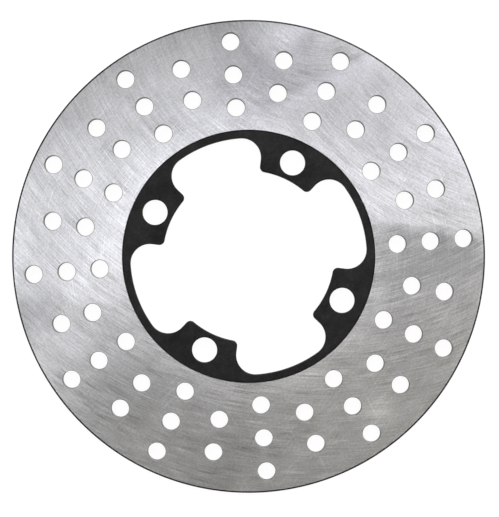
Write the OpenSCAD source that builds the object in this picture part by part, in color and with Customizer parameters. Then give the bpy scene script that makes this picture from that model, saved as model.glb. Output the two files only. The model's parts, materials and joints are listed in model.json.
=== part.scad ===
// Brake disc rotor: a ground friction ring with vent holes around a black four-lug mounting carrier.
// Millimetres. +Z is the wheel axis, z = 0 is the ring's back face, the first mounting hole is on +X.

/* [Friction ring] */
// Outside diameter of the disc
ring_d = 160; // [130:1:200]
// Thickness across the two ground faces
ring_thk = 3.5; // [2.5:0.1:6]
// Corner break around the outside edge, on both faces
rim_chamfer = 0.5; // [0.2:0.1:1]

/* [Vent holes] */
// Diameter of one vent hole
vent_d = 6; // [3:0.1:8]
// Holes in one row, which are also on the mounting hole angles
vent_count = 12; // [4:4:16]
// From the ring's inner edge to the centres of the first row
vent_inner_edge = 7.8; // [5:0.1:12]
// Least distance from the centres of the last row to the outside edge
vent_outer_edge = 7.1; // [5:0.1:12]
// Radial step from one row to the next, which is turned by half a hole space
vent_row_step = 5.6; // [4.6:0.1:9]
// Corner break around a vent hole, on both faces
vent_chamfer = 0.2; // [0.1:0.05:0.5]

/* [Mounting carrier] */
// Depth of the carrier's faces below the ring's ground faces
carrier_recess = 0.25; // [0.1:0.05:0.6]
// Diameter across the lug noses, which centre on the wheel hub
hub_d = 58; // [40:0.5:59]
// Width of the hoop that ties the lugs together
hoop_w = 2.6; // [1.5:0.1:4]
// Angle that one lug covers, between its two straight sides
lug_angle = 36; // [30:1:44]
// Fillet between a lug's side and the hoop
window_fillet = 6.5; // [2:0.1:8]
// Rounding of a lug's two nose corners
nose_fillet = 1.8; // [0.5:0.1:3]

/* [Mounting holes] */
// Number of lugs, with one mounting hole in each
lug_count = 4; // [3:1:4]
// Diameter of the bolt circle
bolt_pcd = 70; // [69:0.5:90]
// Diameter of one mounting hole
bolt_hole_d = 8.5; // [5:0.1:10.5]
// Metal left between a mounting hole and the carrier's outer edge
bolt_land = 3.45; // [2.6:0.05:6]
// Corner break around a mounting hole, on both faces
bolt_chamfer = 0.3; // [0.1:0.05:0.6]

/* [Hidden] */

// How far a cutter runs past the face that it cuts
past = 1;
// Smoothness of the large circles and of the holes
$fn = 180;
hole_fn = 48;

// The carrier's outer edge lies outside the mounting holes, and the ring starts there.
carrier_r = (bolt_pcd + bolt_hole_d) / 2 + bolt_land;
carrier_thk = ring_thk - 2 * carrier_recess;
ring_r = ring_d / 2;
hub_r = hub_d / 2;
window_r = carrier_r - hoop_w;

// Rows of vent holes fill the ring from its inner edge, as many as leave the outer margin.
vent_first_r = carrier_r + vent_inner_edge;
vent_room = ring_r - vent_outer_edge - vent_first_r;
vent_rows = floor(vent_room / vent_row_step + 0.001) + 1;
vent_space = 360 / vent_count;

// A window fillet touches the lug's side and the hoop. Its centre is on this radius, and this far round from the side.
fillet_r = window_r - window_fillet;
fillet_turn = asin(window_fillet / fillet_r);
// A nose rounding touches the lug's side and the hub opening.
nose_r = hub_r + nose_fillet;
nose_turn = asin(nose_fillet / nose_r);

// Angles between the middle of a window and the side of a lug, and the centre of a fillet
window_half = 180 / lug_count - lug_angle / 2;
fillet_half = window_half - fillet_turn;

ring_colour = "lightgray";
carrier_colour = "#262626";

function polar(r, a) = [r * cos(a), r * sin(a)];

// Cutter for a round hole through a plate from z = 0 to z = thk, with both its edges broken.
module hole_cutter(d, thk, chamfer) {
    flare = chamfer + past;
    rotate_extrude($fn = hole_fn)
        polygon([
            [0, -past],
            [d / 2 + flare, -past],
            [d / 2, chamfer],
            [d / 2, thk - chamfer],
            [d / 2 + flare, thk + past],
            [0, thk + past]
        ]);
}

// The ring's half section: square at its inner edge, with both outside corners broken.
module ring_section() {
    polygon([
        [carrier_r, 0],
        [ring_r - rim_chamfer, 0],
        [ring_r, rim_chamfer],
        [ring_r, ring_thk - rim_chamfer],
        [ring_r - rim_chamfer, ring_thk],
        [carrier_r, ring_thk]
    ]);
}

// Every second row is turned by half a space, so that the holes lie in a brick pattern.
module vent_pattern() {
    for (row = [0 : vent_rows - 1])
        for (hole = [0 : vent_count - 1])
            rotate((hole + (row % 2) / 2) * vent_space)
                translate([vent_first_r + row * vent_row_step, 0, 0])
                    hole_cutter(vent_d, ring_thk, vent_chamfer);
}

module friction_ring() {
    color(ring_colour)
        difference() {
            rotate_extrude()
                ring_section();
            vent_pattern();
        }
}

// One window, centred on +X: straight sides that run out from the axis, two fillets and the hoop's arc.
module window() {
    side_end_r = fillet_r * cos(fillet_turn);
    polygon([
        [0, 0],
        polar(side_end_r, -window_half),
        polar(fillet_r, -fillet_half),
        polar(fillet_r, fillet_half),
        polar(side_end_r, window_half)
    ]);
    intersection() {
        circle(window_r);
        polygon([
            [0, 0],
            polar(2 * window_r, -fillet_half),
            polar(2 * window_r, fillet_half)
        ]);
    }
    for (side = [-1, 1])
        rotate(side * fillet_half)
            translate([fillet_r, 0])
                circle(window_fillet, $fn = hole_fn);
}

// What comes off one nose corner of a lug, for the side on the positive or the negative angle.
module nose_corner(side) {
    corner_a = side * (lug_angle / 2 - nose_turn);
    centre = polar(nose_r, corner_a);
    inward = polar(nose_fillet + past, corner_a + 180);
    outward = polar(nose_fillet + past, side * (lug_angle / 2 + 90));
    difference() {
        polygon([
            centre,
            centre + inward,
            centre + inward + outward,
            centre + outward
        ]);
        translate(centre)
            circle(nose_fillet, $fn = hole_fn);
    }
}

// The carrier seen along the axis, with a lug on +X.
module carrier_outline() {
    difference() {
        circle(carrier_r);
        circle(hub_r);
        for (lug = [0 : lug_count - 1])
            rotate(lug * 360 / lug_count) {
                rotate(180 / lug_count)
                    window();
                for (side = [-1, 1])
                    nose_corner(side);
            }
    }
}

module mounting_carrier() {
    color(carrier_colour)
        translate([0, 0, carrier_recess])
            difference() {
                linear_extrude(carrier_thk)
                    carrier_outline();
                for (lug = [0 : lug_count - 1])
                    rotate(lug * 360 / lug_count)
                        translate([bolt_pcd / 2, 0, 0])
                            hole_cutter(bolt_hole_d, carrier_thk, bolt_chamfer);
            }
}

friction_ring();
mounting_carrier();
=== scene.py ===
import json
from math import asin, cos, pi, radians, sin

import bmesh
import bpy
from mathutils import Matrix, Vector


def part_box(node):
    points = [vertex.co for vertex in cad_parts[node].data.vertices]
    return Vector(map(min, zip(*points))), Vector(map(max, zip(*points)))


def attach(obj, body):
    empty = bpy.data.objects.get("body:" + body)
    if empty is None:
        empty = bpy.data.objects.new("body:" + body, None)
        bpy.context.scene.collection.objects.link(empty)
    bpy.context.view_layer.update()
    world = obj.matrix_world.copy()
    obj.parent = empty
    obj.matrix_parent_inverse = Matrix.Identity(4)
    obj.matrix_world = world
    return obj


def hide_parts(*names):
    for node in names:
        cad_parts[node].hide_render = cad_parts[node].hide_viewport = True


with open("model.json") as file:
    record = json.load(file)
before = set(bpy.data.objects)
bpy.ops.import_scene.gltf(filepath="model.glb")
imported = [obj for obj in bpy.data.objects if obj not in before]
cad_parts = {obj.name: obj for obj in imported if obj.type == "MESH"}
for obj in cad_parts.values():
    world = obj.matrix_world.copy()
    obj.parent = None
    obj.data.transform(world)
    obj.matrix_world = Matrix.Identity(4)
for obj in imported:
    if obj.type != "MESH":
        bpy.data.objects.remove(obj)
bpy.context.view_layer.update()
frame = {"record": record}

mm = 0.001
tiny = 1e-6                # points nearer than this are one
sharpFrom = radians(50)    # edges that turn further than this stay crisp
noiseRange = (0.3, 0.7)    # noise keeps close to its middle, so this much of its range is used
white = (1, 1, 1, 1)
yAxis = (0, 1, 0)
zAxis = (0, 0, 1)
mounts = {mount["name"]: mount for mount in frame["record"]["mounts"]}

ringLow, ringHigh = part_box("friction_ring")
carrierLow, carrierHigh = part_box("mounting_carrier")
print("frame loaded, the disc is", round(2 * ringHigh.x / mm), "mm across")

# The disc is seen square on from the front, turned so that its first lug points up and to the right.
viewTurn = radians(-64.8)


def inView(right, up, height=0.0):
    return Matrix.Rotation(viewTurn, 3, "Z") @ Vector((right, up, height))


def polar(radius, angle, height=0.0):
    return Vector((radius * cos(angle), radius * sin(angle), height))


# Mesh steps that both pieces share.
def onlyVerts(parts):
    return [part for part in parts if isinstance(part, bmesh.types.BMVert)]


def onlyFaces(parts):
    return [part for part in parts if isinstance(part, bmesh.types.BMFace)]


# Draws an arc from a vertex, and gives the vertex at its far end.
def sweepVert(bm, vert, centre, axis, angle, steps):
    made = bmesh.ops.spin(bm, geom=[vert], cent=centre, axis=axis, angle=angle, steps=steps)
    return onlyVerts(made["geom_last"])[0]


def stretchVert(bm, vert, goal):
    made = bmesh.ops.extrude_vert_indiv(bm, verts=[vert])["verts"][0]
    made.co = goal
    return made


# A wall standing between two heights, with both corners rounded. metalSide is 1 round a hole and -1 outside.
def spinWall(bm, radius, low, high, corner, cornerSteps, metalSide, steps, material):
    edgeX = radius + metalSide * corner
    quarter = -metalSide * pi / 2
    start = bm.verts.new((edgeX, 0, high))
    upper = sweepVert(bm, start, (edgeX, 0, high - corner), yAxis, quarter, cornerSteps)
    lower = stretchVert(bm, upper, (radius, 0, low + corner))
    sweepVert(bm, lower, (edgeX, 0, low + corner), yAxis, quarter, cornerSteps)
    profile = [vert for vert in bm.verts if not vert.link_faces]
    profile += [edge for edge in bm.edges if not edge.link_faces]
    old = set(bm.faces)
    bmesh.ops.spin(bm, geom=profile, cent=(0, 0, 0), axis=zAxis, angle=2 * pi, steps=steps, use_merge=True)
    for face in bm.faces:
        if face not in old:
            face.material_index = material


# Fills between all open edges at this height, and leaves the holes open.
def fillFlat(bm, height, material):
    rim = [edge for edge in bm.edges
           if len(edge.link_faces) < 2 and all(abs(vert.co.z - height) < tiny for vert in edge.verts)]
    faces = onlyFaces(bmesh.ops.triangle_fill(bm, edges=rim, use_beauty=True, normal=zAxis)["geom"])
    for face in faces:
        face.material_index = material
    return faces


def finishPiece(bm, name, node, materials):
    bmesh.ops.remove_doubles(bm, verts=bm.verts[:], dist=tiny)
    bmesh.ops.recalc_face_normals(bm, faces=bm.faces[:])
    mesh = bpy.data.meshes.new(name)
    bm.to_mesh(mesh)
    bm.free()
    for material in materials:
        mesh.materials.append(material)
    mesh.shade_smooth()
    mesh.set_sharp_from_angle(angle=sharpFrom)
    piece = bpy.data.objects.new(name, mesh)
    bpy.context.scene.collection.objects.link(piece)
    piece.modifiers.new("evenShading", "WEIGHTED_NORMAL").keep_sharp = True
    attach(piece, "root")
    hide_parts(node)
    print(name, "made of", len(mesh.polygons), "faces")


# Node steps that all materials share.
def feed(tree, socket, value):
    if isinstance(value, bpy.types.NodeSocket):
        tree.links.new(value, socket)
    else:
        socket.default_value = value


def addNode(tree, kind, inputs=None, **options):
    node = tree.nodes.new("ShaderNode" + kind)
    for name, value in options.items():
        setattr(node, name, value)
    for name, value in (inputs or {}).items():
        feed(tree, node.inputs[name], value)
    return node.outputs


def placeGroup(tree, group, inputs):
    node = tree.nodes.new("ShaderNodeGroup")
    node.node_tree = group
    for name, value in inputs.items():
        feed(tree, node.inputs[name], value)
    return node.outputs


def mathNode(tree, operation, *values):
    return addNode(tree, "Math", dict(enumerate(values)), operation=operation)[0]


def vectorNode(tree, operation, *values):
    return addNode(tree, "VectorMath", dict(enumerate(values)), operation=operation)[0]


# For what gives a number: a length, a distance or a dot product.
def measure(tree, operation, *values):
    return addNode(tree, "VectorMath", dict(enumerate(values)), operation=operation)["Value"]


# Turns the range from low to high into the range from first to last, and stops at both ends.
def spread(tree, value, low, high, first, last, smooth=False):
    inputs = {"Value": value, "From Min": low, "From Max": high, "To Min": first, "To Max": last}
    kind = "SMOOTHSTEP" if smooth else "LINEAR"
    return addNode(tree, "MapRange", inputs, interpolation_type=kind)["Result"]


def spreadNoise(tree, value, first, last):
    return spread(tree, value, *noiseRange, first, last)


def mixNumbers(tree, share, first, second):
    return addNode(tree, "Mix", {0: share, 2: first, 3: second})[0]


def mixVectors(tree, share, first, second):
    return addNode(tree, "Mix", {0: share, 4: first, 5: second}, data_type="VECTOR")[1]


def mixColours(tree, share, first, second, blend="MIX"):
    return addNode(tree, "Mix", {0: share, 6: first, 7: second}, data_type="RGBA", blend_type=blend)[2]


def addBump(tree, shader, height, strength, depth):
    bump = addNode(tree, "Bump", {"Strength": strength, "Distance": depth, "Height": height})
    tree.links.new(bump[0], shader.inputs["Normal"])


def newGroup(name, inputs, outputs):
    group = bpy.data.node_groups.new(name, "ShaderNodeTree")
    for label, kind in inputs:
        group.interface.new_socket(name=label, in_out="INPUT", socket_type="NodeSocket" + kind)
    for label in outputs:
        group.interface.new_socket(name=label, in_out="OUTPUT", socket_type="NodeSocketFloat")
    start = group.nodes.new("NodeGroupInput")
    end = group.nodes.new("NodeGroupOutput")
    return group, start.outputs, end.inputs


def newMaterial(name, **fixed):
    material = bpy.data.materials.new(name)
    material.use_nodes = True
    tree = material.node_tree
    shader = tree.nodes["Principled BSDF"]
    for label, value in fixed.items():
        shader.inputs[label.replace("_", " ")].default_value = value
    return material, tree, shader


# Each kind of mark: its width in line widths, its length in line lengths, how ragged it is, the stretch of
# noise that it shows, and its value below that stretch. Scratches show only where the noise peaks.
markKinds = {
    "Fine": (0.8, 0.6, 2.0, noiseRange, -1.0),
    "Broad": (2.2, 1.5, 1.0, noiseRange, -1.0),
    "Bands": (9.0, 3.0, 3.0, noiseRange, -1.0),
    "Scratches": (1.0, 1.4, 0.0, (0.68, 0.78), 0.0),
}
fineShare = 0.8            # the rest of the lines are broad ones
# Each kind of blotch: how ragged it is, and how rough its outline.
blotchKinds = {"Patch": (4.0, 0.62), "Speck": (2.0, 0.6)}


# Marks that a grinding wheel leaves, on arcs round its centre: lines, wide bands and single scratches.
def makeGrindMarks():
    group, given, wanted = newGroup(
        "grindMarks",
        [("Position", "Vector"), ("Wheel Centre", "Vector"),
         ("Line Width", "Float"), ("Line Length", "Float")],
        ["Lines", "Bands", "Scratches"],
    )
    away = vectorNode(group, "SUBTRACT", given["Wheel Centre"], given["Position"])
    parts = addNode(group, "SeparateXYZ", {0: away})
    distance = measure(group, "LENGTH", vectorNode(group, "MULTIPLY", away, (1, 1, 0)))
    arc = mathNode(group, "MULTIPLY", mathNode(group, "ARCTAN2", parts["Y"], parts["X"]), distance)
    across = mathNode(group, "DIVIDE", distance, given["Line Width"])
    along = mathNode(group, "DIVIDE", arc, given["Line Length"])
    spot = addNode(group, "CombineXYZ", {0: across, 1: along})[0]
    marks = {}
    for label, (width, length, detail, (low, high), first) in markKinds.items():
        place = vectorNode(group, "MULTIPLY", spot, (1 / width, 1 / length, 0))
        noise = addNode(group, "TexNoise", {"Vector": place, "Scale": 1.0, "Detail": detail})[0]
        marks[label] = spread(group, noise, low, high, first, 1.0)
    broad = mathNode(group, "MULTIPLY", marks["Broad"], 1 - fineShare)
    marks["Lines"] = mathNode(group, "MULTIPLY_ADD", marks["Fine"], fineShare, broad)
    for label in ("Lines", "Bands", "Scratches"):
        group.links.new(marks[label], wanted[label])
    return group


# Soft patches and tiny specks, for any surface.
def makePatches():
    group, given, wanted = newGroup(
        "patches",
        [("Position", "Vector"), ("Patch Size", "Float"), ("Speck Size", "Float")],
        ["Patch", "Speck"],
    )
    for label, (detail, rough) in blotchKinds.items():
        closer = mathNode(group, "DIVIDE", 1.0, given[label + " Size"])
        spot = addNode(group, "VectorMath", {0: given["Position"], "Scale": closer}, operation="SCALE")[0]
        noise = {"Vector": spot, "Scale": 1.0, "Detail": detail, "Roughness": rough}
        group.links.new(addNode(group, "TexNoise", noise)[0], wanted[label])
    return group


grindMarks = makeGrindMarks()
patches = makePatches()
print("shared node groups ready")

ring = {
    "outside": ringHigh.x,
    "inside": carrierHigh.x,
    "rimCorner": 0.6 * mm,
    "innerCorner": 0.12 * mm,
    "ventRadius": 3 * mm,
    "ventCorner": 0.2 * mm,
    "ventCount": 12,
    "ventRows": 5,
    "firstRow": 7.8 * mm,      # from the ring's inner edge
    "rowStep": 5.6 * mm,
    "rimSteps": 288,
    "innerSteps": 192,
    "ventSteps": 48,
    "cornerSteps": 3,
}

steel = {
    "cool": (0.6, 0.601, 0.622, 1),
    "warm": (0.592, 0.586, 0.56, 1),
    # the colour drifts from warm to cool in this direction, between two distances along it
    "coolTowards": radians(41),
    "warmUpTo": -55 * mm,
    "coolFrom": 15 * mm,
    "driftWobble": 14 * mm,
    "roughness": 0.33,
    "lineRoughness": 0.04,
    "anisotropy": 0.85,
    "bump": 0.06,
    "bumpDepth": 0.1 * mm,
    # centres of the two grinding passes, and of the marks that run round the disc itself
    "firstWheel": (92 * mm, 16 * mm, 0),
    "lastWheel": (155 * mm, -47 * mm, 0),
    "axis": (0, 0, 0),
    # far centres for single scratches, which cross the rest almost straight
    "strayCentres": ((-260 * mm, 120 * mm, 0), (70 * mm, 340 * mm, 0)),
    # the last pass shows between two edges: direction from the axis, how far out along it, and blur
    "lowerEdge": (radians(16.5), 18.5 * mm, 2.2 * mm),
    "upperEdge": (radians(-121.7), -32.7 * mm, 9 * mm),
    "edgeWobble": 0.8 * mm,
    "lineWidth": 0.3 * mm,
    "lineLength": 16 * mm,
    "patchSize": 12 * mm,
    "grainSize": 0.7 * mm,
    # how much lighter or darker each kind of mark makes the steel
    "lineLight": 0.265,
    "bandLight": 0.07,
    "crossLight": 0.08,
    "scratchLight": 0.2,
    "strayLight": 0.13,
    "patchLight": 0.115,
    "grainLight": 0.125,
    # the marks fade to a share of their strength on both sides of a line through the axis: a painted sheen,
    # as they show at full strength only in the band where the highlight falls
    "fadeAlong": radians(25.2),
    "fadeFrom": 28 * mm,
    "fadeTo": 62 * mm,
    "fadeShare": 0.6,
    # painted highlight: the steel is painted brighter along the inner edge, standing in for the lamps'
    # reflection
    "innerHighlight": 0.2,
    "innerReach": 11 * mm,
    # painted highlights and painted shade, one spot each: how far out, at what angle, how wide, how much
    # lighter or darker
    "paintedSheenSpots": (
        (77 * mm, radians(130), 17 * mm, -0.38), (68 * mm, radians(245), 11 * mm, 0.36),
        (66 * mm, radians(26), 20 * mm, -0.32), (66 * mm, radians(165), 26 * mm, -0.16),
        (52 * mm, radians(125), 20 * mm, 0.34), (70 * mm, radians(195), 30 * mm, -0.18),
        (46 * mm, radians(95), 30 * mm, 0.18), (70 * mm, radians(280), 20 * mm, 0.18),
        (52 * mm, radians(320), 30 * mm, 0.13),
    ),
    "sheenSpotWobble": 1.5 * mm,
}


# How far a point lies out from the axis in one direction.
def alongTowards(tree, place, direction):
    return measure(tree, "DOT_PRODUCT", place, polar(1, direction))


# How far a point lies beyond an edge, as 0 to 1 across the blur.
def beyondEdge(tree, place, edge, wobble):
    direction, offset, blur = edge
    along = mathNode(tree, "ADD", alongTowards(tree, place, direction), wobble)
    return spread(tree, along, offset - blur, offset + blur, 0.0, 1.0, smooth=True)


# How light the marks leave the steel. Every kind adds its own share to 1, and the lines fade to both sides
# of a painted sheen band, where the highlight falls and the marks show strongest.
def lightOfMarks(tree, place, main, patch, grain, marks):
    turned = placeGroup(tree, grindMarks, {**marks, "Wheel Centre": steel["axis"]})
    light = 0.0
    for mark, strength in (
        (main["Lines"], steel["lineLight"]),
        (main["Bands"], steel["bandLight"]),
        (main["Scratches"], steel["scratchLight"]),
        (turned["Lines"], steel["crossLight"]),
        (turned["Scratches"], steel["scratchLight"]),
    ):
        light = mathNode(tree, "MULTIPLY_ADD", mark, strength, light)
    # painted sheen: the marks keep full strength only in the band where the highlight falls
    side = mathNode(tree, "ABSOLUTE", alongTowards(tree, place, steel["fadeAlong"]))
    strong = spread(tree, side, steel["fadeFrom"], steel["fadeTo"], 1.0, steel["fadeShare"], smooth=True)
    light = mathNode(tree, "MULTIPLY_ADD", light, strong, 1.0)
    for centre in steel["strayCentres"]:
        stray = placeGroup(tree, grindMarks, {**marks, "Wheel Centre": centre})["Scratches"]
        light = mathNode(tree, "MULTIPLY_ADD", stray, steel["strayLight"], light)
    light = mathNode(tree, "MULTIPLY_ADD", patch, steel["patchLight"], light)
    return mathNode(tree, "MULTIPLY_ADD", grain, steel["grainLight"], light)


# Paints a highlight along the inner edge, and paints each spot lighter as a highlight or darker as shade.
def lightOfPaintedSheen(tree, place, patch, light):
    radius = measure(tree, "LENGTH", vectorNode(tree, "MULTIPLY", place, (1, 1, 0)))
    # painted highlight: lighter towards the inner edge
    inner = spread(tree, radius, ring["inside"], ring["inside"] + steel["innerReach"],
                   1 + steel["innerHighlight"], 1.0, smooth=True)
    light = mathNode(tree, "MULTIPLY", light, inner)
    # each spot is a painted highlight where it is lighter and painted shade where it is darker
    for away, angle, width, strength in steel["paintedSheenSpots"]:
        gap = measure(tree, "DISTANCE", place, polar(away, angle))
        gap = mathNode(tree, "MULTIPLY_ADD", patch, steel["sheenSpotWobble"], gap)
        paintedSpot = spread(tree, gap, 0.0, width, 1 + strength, 1.0, smooth=True)
        light = mathNode(tree, "MULTIPLY", light, paintedSpot)
    return light


def makeGroundSteel():
    material, tree, shader = newMaterial("groundSteel", Metallic=1.0, Anisotropic=steel["anisotropy"])
    place = addNode(tree, "TexCoord")["Object"]
    marks = {"Position": place, "Line Width": steel["lineWidth"], "Line Length": steel["lineLength"]}
    first = placeGroup(tree, grindMarks, {**marks, "Wheel Centre": steel["firstWheel"]})
    last = placeGroup(tree, grindMarks, {**marks, "Wheel Centre": steel["lastWheel"]})
    sizes = {"Patch Size": steel["patchSize"], "Speck Size": steel["grainSize"]}
    tone = placeGroup(tree, patches, {"Position": place, **sizes})
    patch = spreadNoise(tree, tone["Patch"], -1.0, 1.0)
    grain = spreadNoise(tree, tone["Speck"], -1.0, 1.0)

    wobble = mathNode(tree, "MULTIPLY", patch, steel["edgeWobble"])
    share = mathNode(tree, "MULTIPLY", beyondEdge(tree, place, steel["lowerEdge"], wobble),
                     beyondEdge(tree, place, steel["upperEdge"], wobble))
    main = {label: mixNumbers(tree, share, first[label], last[label])
            for label in ("Lines", "Bands", "Scratches")}

    light = lightOfMarks(tree, place, main, patch, grain, marks)
    light = lightOfPaintedSheen(tree, place, patch, light)
    lightColour = addNode(tree, "CombineColor", {0: light, 1: light, 2: light})[0]
    drift = alongTowards(tree, place, steel["coolTowards"])
    drift = mathNode(tree, "MULTIPLY_ADD", patch, steel["driftWobble"], drift)
    cool = spread(tree, drift, steel["warmUpTo"], steel["coolFrom"], 0.0, 1.0)
    tinted = mixColours(tree, cool, steel["warm"], steel["cool"])
    tree.links.new(mixColours(tree, 1.0, tinted, lightColour, "MULTIPLY"), shader.inputs["Base Color"])
    rough = mathNode(tree, "MULTIPLY_ADD", main["Lines"], steel["lineRoughness"], steel["roughness"])
    tree.links.new(rough, shader.inputs["Roughness"])
    addBump(tree, shader, main["Lines"], steel["bump"], steel["bumpDepth"])

    # The grooves run round the wheel's centre, so the shine spreads towards it.
    wheel = mixVectors(tree, share, steel["firstWheel"], steel["lastWheel"])
    towards = vectorNode(tree, "MULTIPLY", vectorNode(tree, "SUBTRACT", wheel, place), (1, 1, 0))
    tree.links.new(vectorNode(tree, "NORMALIZE", towards), shader.inputs["Tangent"])
    return material


wall = {
    "metallic": 0.15,
    "specular": 0.2,
    # painted shade: both wall colours are darkened to stand for the shade inside the holes
    "dark": (0.17, 0.165, 0.157, 1),
    "light": (0.32, 0.312, 0.298, 1),
    # the pattern is stretched round the hole and squeezed along it
    "stretch": (0.15, 0.15, 4),
    "patchSize": 3 * mm,
    "speckSize": 0.5 * mm,
    "roughness": (0.45, 0.65),
    "bump": 0.3,
    "bumpDepth": 0.05 * mm,
}


# Walls of the drilled vent holes, with fine rings left by the drill. Their colour is painted shade: much
# darker and less metallic than bare steel, so the holes look shaded inside.
def makeDrilledSteel():
    material, tree, shader = newMaterial("paintedShadeDrilledSteel", Metallic=wall["metallic"],
                                         Specular_IOR_Level=wall["specular"])
    stretched = vectorNode(tree, "MULTIPLY", addNode(tree, "TexCoord")["Object"], wall["stretch"])
    sizes = {"Patch Size": wall["patchSize"], "Speck Size": wall["speckSize"]}
    tone = placeGroup(tree, patches, {"Position": stretched, **sizes})
    # the base colour is painted shade inside the holes, with the drill's rings on it
    tree.links.new(mixColours(tree, tone["Speck"], wall["dark"], wall["light"]), shader.inputs["Base Color"])
    tree.links.new(spreadNoise(tree, tone["Speck"], *wall["roughness"]), shader.inputs["Roughness"])
    addBump(tree, shader, tone["Speck"], wall["bump"], wall["bumpDepth"])
    return material


skin = {
    "specular": 0.15,
    "dark": (0.008, 0.008, 0.009, 1),
    "light": (0.022, 0.021, 0.02, 1),
    "patchSize": 9 * mm,
    "speckSize": 0.6 * mm,
    "roughness": (0.35, 0.5),
    "bump": 0.25,
    "bumpDepth": 0.05 * mm,
}


# The outside edge and the small step down to the carrier were never ground, so they stay dark.
def makeDarkSkin():
    material, tree, shader = newMaterial("darkSkin", Specular_IOR_Level=skin["specular"])
    place = addNode(tree, "TexCoord")["Object"]
    sizes = {"Patch Size": skin["patchSize"], "Speck Size": skin["speckSize"]}
    tone = placeGroup(tree, patches, {"Position": place, **sizes})
    colour = mixColours(tree, spreadNoise(tree, tone["Patch"], 0.0, 1.0), skin["dark"], skin["light"])
    tree.links.new(colour, shader.inputs["Base Color"])
    tree.links.new(spreadNoise(tree, tone["Speck"], *skin["roughness"]), shader.inputs["Roughness"])
    addBump(tree, shader, tone["Speck"], skin["bump"], skin["bumpDepth"])
    return material


# Copies one vent hole's wall to every place in the pattern. Each second row is turned by half a hole space.
def repeatVent(bm):
    vent = bm.verts[:] + bm.edges[:] + bm.faces[:]
    for row in range(ring["ventRows"]):
        out = Matrix.Translation((ring["inside"] + ring["firstRow"] + row * ring["rowStep"], 0, 0))
        for count in range(ring["ventCount"]):
            turn = Matrix.Rotation(2 * pi * (count + row % 2 / 2) / ring["ventCount"], 4, "Z")
            copied = bmesh.ops.duplicate(bm, geom=vent)["geom"]
            bmesh.ops.transform(bm, matrix=turn @ out, verts=onlyVerts(copied))
    bmesh.ops.delete(bm, geom=onlyVerts(vent), context="VERTS")


def makeFrictionRing():
    bm = bmesh.new()
    low, high, steps = ringLow.z, ringHigh.z, ring["cornerSteps"]
    materials = [makeGroundSteel(), makeDrilledSteel(), makeDarkSkin()]
    ground, drilled, dark = range(len(materials))
    spinWall(bm, ring["ventRadius"], low, high, ring["ventCorner"], steps, 1, ring["ventSteps"], drilled)
    repeatVent(bm)
    spinWall(bm, ring["inside"], low, high, ring["innerCorner"], steps, 1, ring["innerSteps"], dark)
    spinWall(bm, ring["outside"], low, high, ring["rimCorner"], steps, -1, ring["rimSteps"], dark)
    fillFlat(bm, high, ground)
    fillFlat(bm, low, ground)
    finishPiece(bm, "groundFrictionRing", "friction_ring", materials)


makeFrictionRing()

carrier = {
    "outside": carrierHigh.x,
    "hub": mounts["hub_pilot"]["dims"]["r_mm"] * mm,
    "boltCircle": mounts["bolt_circle"]["dims"]["pcd_mm"] / 2 * mm,
    "boltHole": mounts["bolt_circle"]["dims"]["hole_r_mm"] * mm,
    "lugs": mounts["bolt_circle"]["dims"]["count"],
    "hoop": 2.6 * mm,
    "lugHalf": radians(18),
    "windowFillet": 6.5 * mm,
    "noseFillet": 1.8 * mm,
    "corner": 0.25 * mm,
    "cornerSteps": 3,
    "hubSteps": 14,
    "noseSteps": 8,
    "filletSteps": 18,
    "windowSteps": 14,
    "holeSteps": 64,
    "outsideSteps": 192,
}


# Half of one lug's edge, from the middle of its nose to the middle of the next window, swept arc by arc.
def sweepHalfLug(bm, height):
    side = carrier["lugHalf"]
    window = carrier["outside"] - carrier["hoop"]
    noseRadius = carrier["hub"] + carrier["noseFillet"]
    noseTurn = asin(carrier["noseFillet"] / noseRadius)
    noseCentre = polar(noseRadius, side - noseTurn, height)
    filletRadius = window - carrier["windowFillet"]
    filletTurn = asin(carrier["windowFillet"] / filletRadius)
    filletCentre = polar(filletRadius, side + filletTurn, height)
    windowTurn = pi / carrier["lugs"] - side - filletTurn
    middle = (0, 0, height)
    vert = bm.verts.new(polar(carrier["hub"], 0, height))
    vert = sweepVert(bm, vert, middle, zAxis, side - noseTurn, carrier["hubSteps"])
    vert = sweepVert(bm, vert, noseCentre, zAxis, noseTurn - pi / 2, carrier["noseSteps"])
    vert = stretchVert(bm, vert, polar(filletRadius * cos(filletTurn), side, height))
    vert = sweepVert(bm, vert, filletCentre, zAxis, pi / 2 + filletTurn, carrier["filletSteps"])
    sweepVert(bm, vert, middle, zAxis, windowTurn, carrier["windowSteps"])


# Walks the edge of these faces up a quarter circle, a little inwards and a little outwards at each step.
def roundOff(bm, faces, radius, steps):
    for step in range(steps):
        lower, upper = step / steps * pi / 2, (step + 1) / steps * pi / 2
        inwards = radius * (cos(lower) - cos(upper))
        outwards = radius * (sin(upper) - sin(lower))
        bmesh.ops.inset_region(bm, faces=faces, thickness=inwards, depth=outwards,
                               use_even_offset=True, use_boundary=True)


coat = {
    "specular": 0.25,
    "black": (0.0025, 0.0025, 0.003, 1),
    "faded": (0.0115, 0.0112, 0.0112, 1),
    "fading": (0.35, 0.65),
    "patchSize": 6 * mm,
    "dust": (0.06, 0.058, 0.055, 1),
    "dustShare": 0.2,
    "dustRange": (0.52, 0.74),
    "roughness": (0.36, 0.48),
    "peel": 0.5 * mm,
    "peelBump": 0.12,
    "peelDepth": 0.04 * mm,
}


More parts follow.
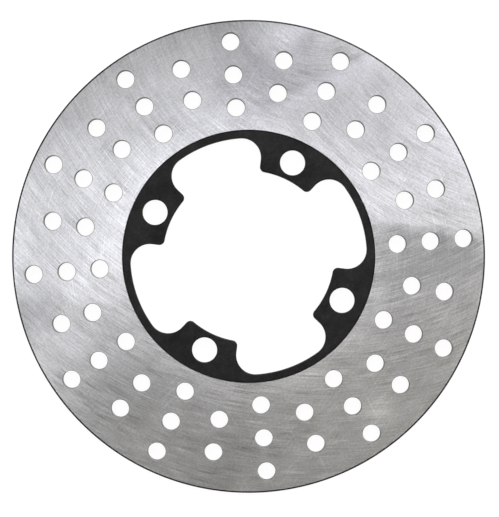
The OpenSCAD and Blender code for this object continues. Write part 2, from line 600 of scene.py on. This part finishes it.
def makeBlackCoat():
    material, tree, shader = newMaterial("blackCoat", Specular_IOR_Level=coat["specular"])
    place = addNode(tree, "TexCoord")["Object"]
    sizes = {"Patch Size": coat["patchSize"], "Speck Size": coat["peel"]}
    tone = placeGroup(tree, patches, {"Position": place, **sizes})
    fading = spread(tree, tone["Patch"], *coat["fading"], 0.0, 1.0)
    dust = spread(tree, tone["Speck"], *coat["dustRange"], 0.0, coat["dustShare"])
    colour = mixColours(tree, fading, coat["black"], coat["faded"])
    tree.links.new(mixColours(tree, dust, colour, coat["dust"]), shader.inputs["Base Color"])
    tree.links.new(spreadNoise(tree, tone["Speck"], *coat["roughness"]), shader.inputs["Roughness"])
    addBump(tree, shader, tone["Speck"], coat["peelBump"], coat["peelDepth"])
    return material


def makeCarrier():
    bm = bmesh.new()
    corner, lugs = carrier["corner"], carrier["lugs"]
    low, high = carrierLow.z + corner, carrierHigh.z - corner
    middle = (0, 0, low)
    sweepHalfLug(bm, low)
    bmesh.ops.mirror(bm, geom=bm.verts[:] + bm.edges[:], matrix=Matrix.Identity(4), merge_dist=tiny,
                     axis="Y")
    bmesh.ops.spin(bm, geom=bm.verts[:] + bm.edges[:], cent=middle, axis=zAxis, angle=2 * pi, steps=lugs,
                   use_duplicate=True)
    bmesh.ops.remove_doubles(bm, verts=bm.verts[:], dist=tiny)
    for count in range(lugs):
        hole = Matrix.Translation(polar(carrier["boltCircle"], 2 * pi * count / lugs, low))
        bmesh.ops.create_circle(bm, segments=carrier["holeSteps"], radius=carrier["boltHole"], matrix=hole)
    bmesh.ops.create_circle(bm, segments=carrier["outsideSteps"], radius=carrier["outside"],
                            matrix=Matrix.Translation(middle))
    under = fillFlat(bm, low, 0)
    made = bmesh.ops.extrude_face_region(bm, geom=under, use_keep_orig=True)["geom"]
    bmesh.ops.translate(bm, vec=(0, 0, high - low), verts=onlyVerts(made))
    bmesh.ops.recalc_face_normals(bm, faces=bm.faces[:])
    roundOff(bm, onlyFaces(made), corner, carrier["cornerSteps"])
    roundOff(bm, under, corner, carrier["cornerSteps"])
    finishPiece(bm, "coatedCarrier", "mounting_carrier", [makeBlackCoat()])


makeCarrier()

studio = {
    "floorSize": 6.0,
    "floorGap": 0.02 * mm,
    "floorColour": (0.1, 0.1, 0.1, 1),
    "floorRoughness": 0.9,
    "floorSpecular": 0.1,
    "floorGlow": 0.95,             # as the camera sees it
    "floorLight": 0.3,             # as the disc sees it
    "horizon": 0.82,
    "overhead": 0.095,
    "horizonRange": (0.5, 0.93),   # the height over which the room dims, from bright to dim
    "lampSize": 0.5,
    "lampDistance": 1.3,
}
# Each softbox: tilt from straight above, bearing anticlockwise from the right of the view, power and colour.
lamps = {
    "keyBox": (60, 60, 10.9, (0.975, 0.985, 1.04)),
    "backBox": (60, 90, 6.0, (1.0, 1.0, 1.0)),
    "topBox": (35, 90, 1.45, (1.0, 0.98, 1.02)),
    "lowBox": (35, 210, 1.75, (0.99, 1.0, 1.02)),
    "rightCard": (20, 30, 1.1, (1.01, 1.0, 0.99)),
    "leftCard": (20, 180, 0.67, (1.0, 1.01, 0.99)),
}


# The floor looks white to the camera and dim to the disc, so it throws little light back.
def makeFloor():
    bm = bmesh.new()
    bmesh.ops.create_grid(bm, x_segments=1, y_segments=1, size=studio["floorSize"])
    bmesh.ops.translate(bm, vec=(0, 0, -studio["floorGap"]), verts=bm.verts[:])
    mesh = bpy.data.meshes.new("studioFloor")
    bm.to_mesh(mesh)
    bm.free()
    floor = bpy.data.objects.new("studioFloor", mesh)
    bpy.context.scene.collection.objects.link(floor)
    material, tree, shader = newMaterial(
        "floorPaper", Base_Color=studio["floorColour"], Roughness=studio["floorRoughness"],
        Specular_IOR_Level=studio["floorSpecular"], Emission_Color=white,
    )
    seen = addNode(tree, "LightPath")["Is Camera Ray"]
    glow = mixNumbers(tree, seen, studio["floorLight"], studio["floorGlow"])
    tree.links.new(glow, shader.inputs["Emission Strength"])
    mesh.materials.append(material)


# The room looks white, like the floor. To the disc it is bright all round and dim overhead.
def makeRoom():
    world = bpy.data.worlds.new("studioRoom")
    bpy.context.scene.world = world
    world.use_nodes = True
    tree = world.node_tree
    seen = addNode(tree, "LightPath")["Is Camera Ray"]
    height = addNode(tree, "SeparateXYZ", {0: addNode(tree, "TexCoord")["Generated"]})["Z"]
    room = spread(tree, height, *studio["horizonRange"], studio["horizon"], studio["overhead"], smooth=True)
    back = tree.nodes["Background"]
    back.inputs["Color"].default_value = white
    tree.links.new(mixNumbers(tree, seen, room, 1.0), back.inputs["Strength"])


def makeLamps():
    for name, (tilt, bearing, power, colour) in lamps.items():
        lamp = bpy.data.lights.new(name, "AREA")
        lamp.shape = "DISK"
        lamp.size = studio["lampSize"]
        lamp.energy = power
        lamp.color = colour
        light = bpy.data.objects.new(name, lamp)
        bpy.context.scene.collection.objects.link(light)
        flat = polar(sin(radians(tilt)), radians(bearing))
        light.location = inView(flat.x, flat.y, cos(radians(tilt))) * studio["lampDistance"]
        light.rotation_euler = light.location.to_track_quat("Z", "Y").to_euler()


camera = {
    "distance": 0.65,
    "margin": 1.092,                     # height of the view over the disc's diameter
    "offCentre": (0.31 * mm, -0.72 * mm),
    "sensor": 36.0,                      # width of the film in millimetres, as Blender counts it
    "nearest": 0.01,
}


def makeCamera():
    data = bpy.data.cameras.new("frontCamera")
    data.sensor_width = camera["sensor"]
    data.lens = camera["sensor"] * camera["distance"] / (2 * ring["outside"] * camera["margin"])
    data.clip_start = camera["nearest"]
    eye = bpy.data.objects.new("frontCamera", data)
    bpy.context.scene.collection.objects.link(eye)
    eye.location = inView(*camera["offCentre"], ringHigh.z + camera["distance"])
    eye.rotation_euler = (0, 0, viewTurn)
    bpy.context.scene.camera = eye


makeFloor()
makeRoom()
makeLamps()
makeCamera()
bpy.context.scene.view_settings.view_transform = "Standard"
print("floor, room, lamps and camera ready")
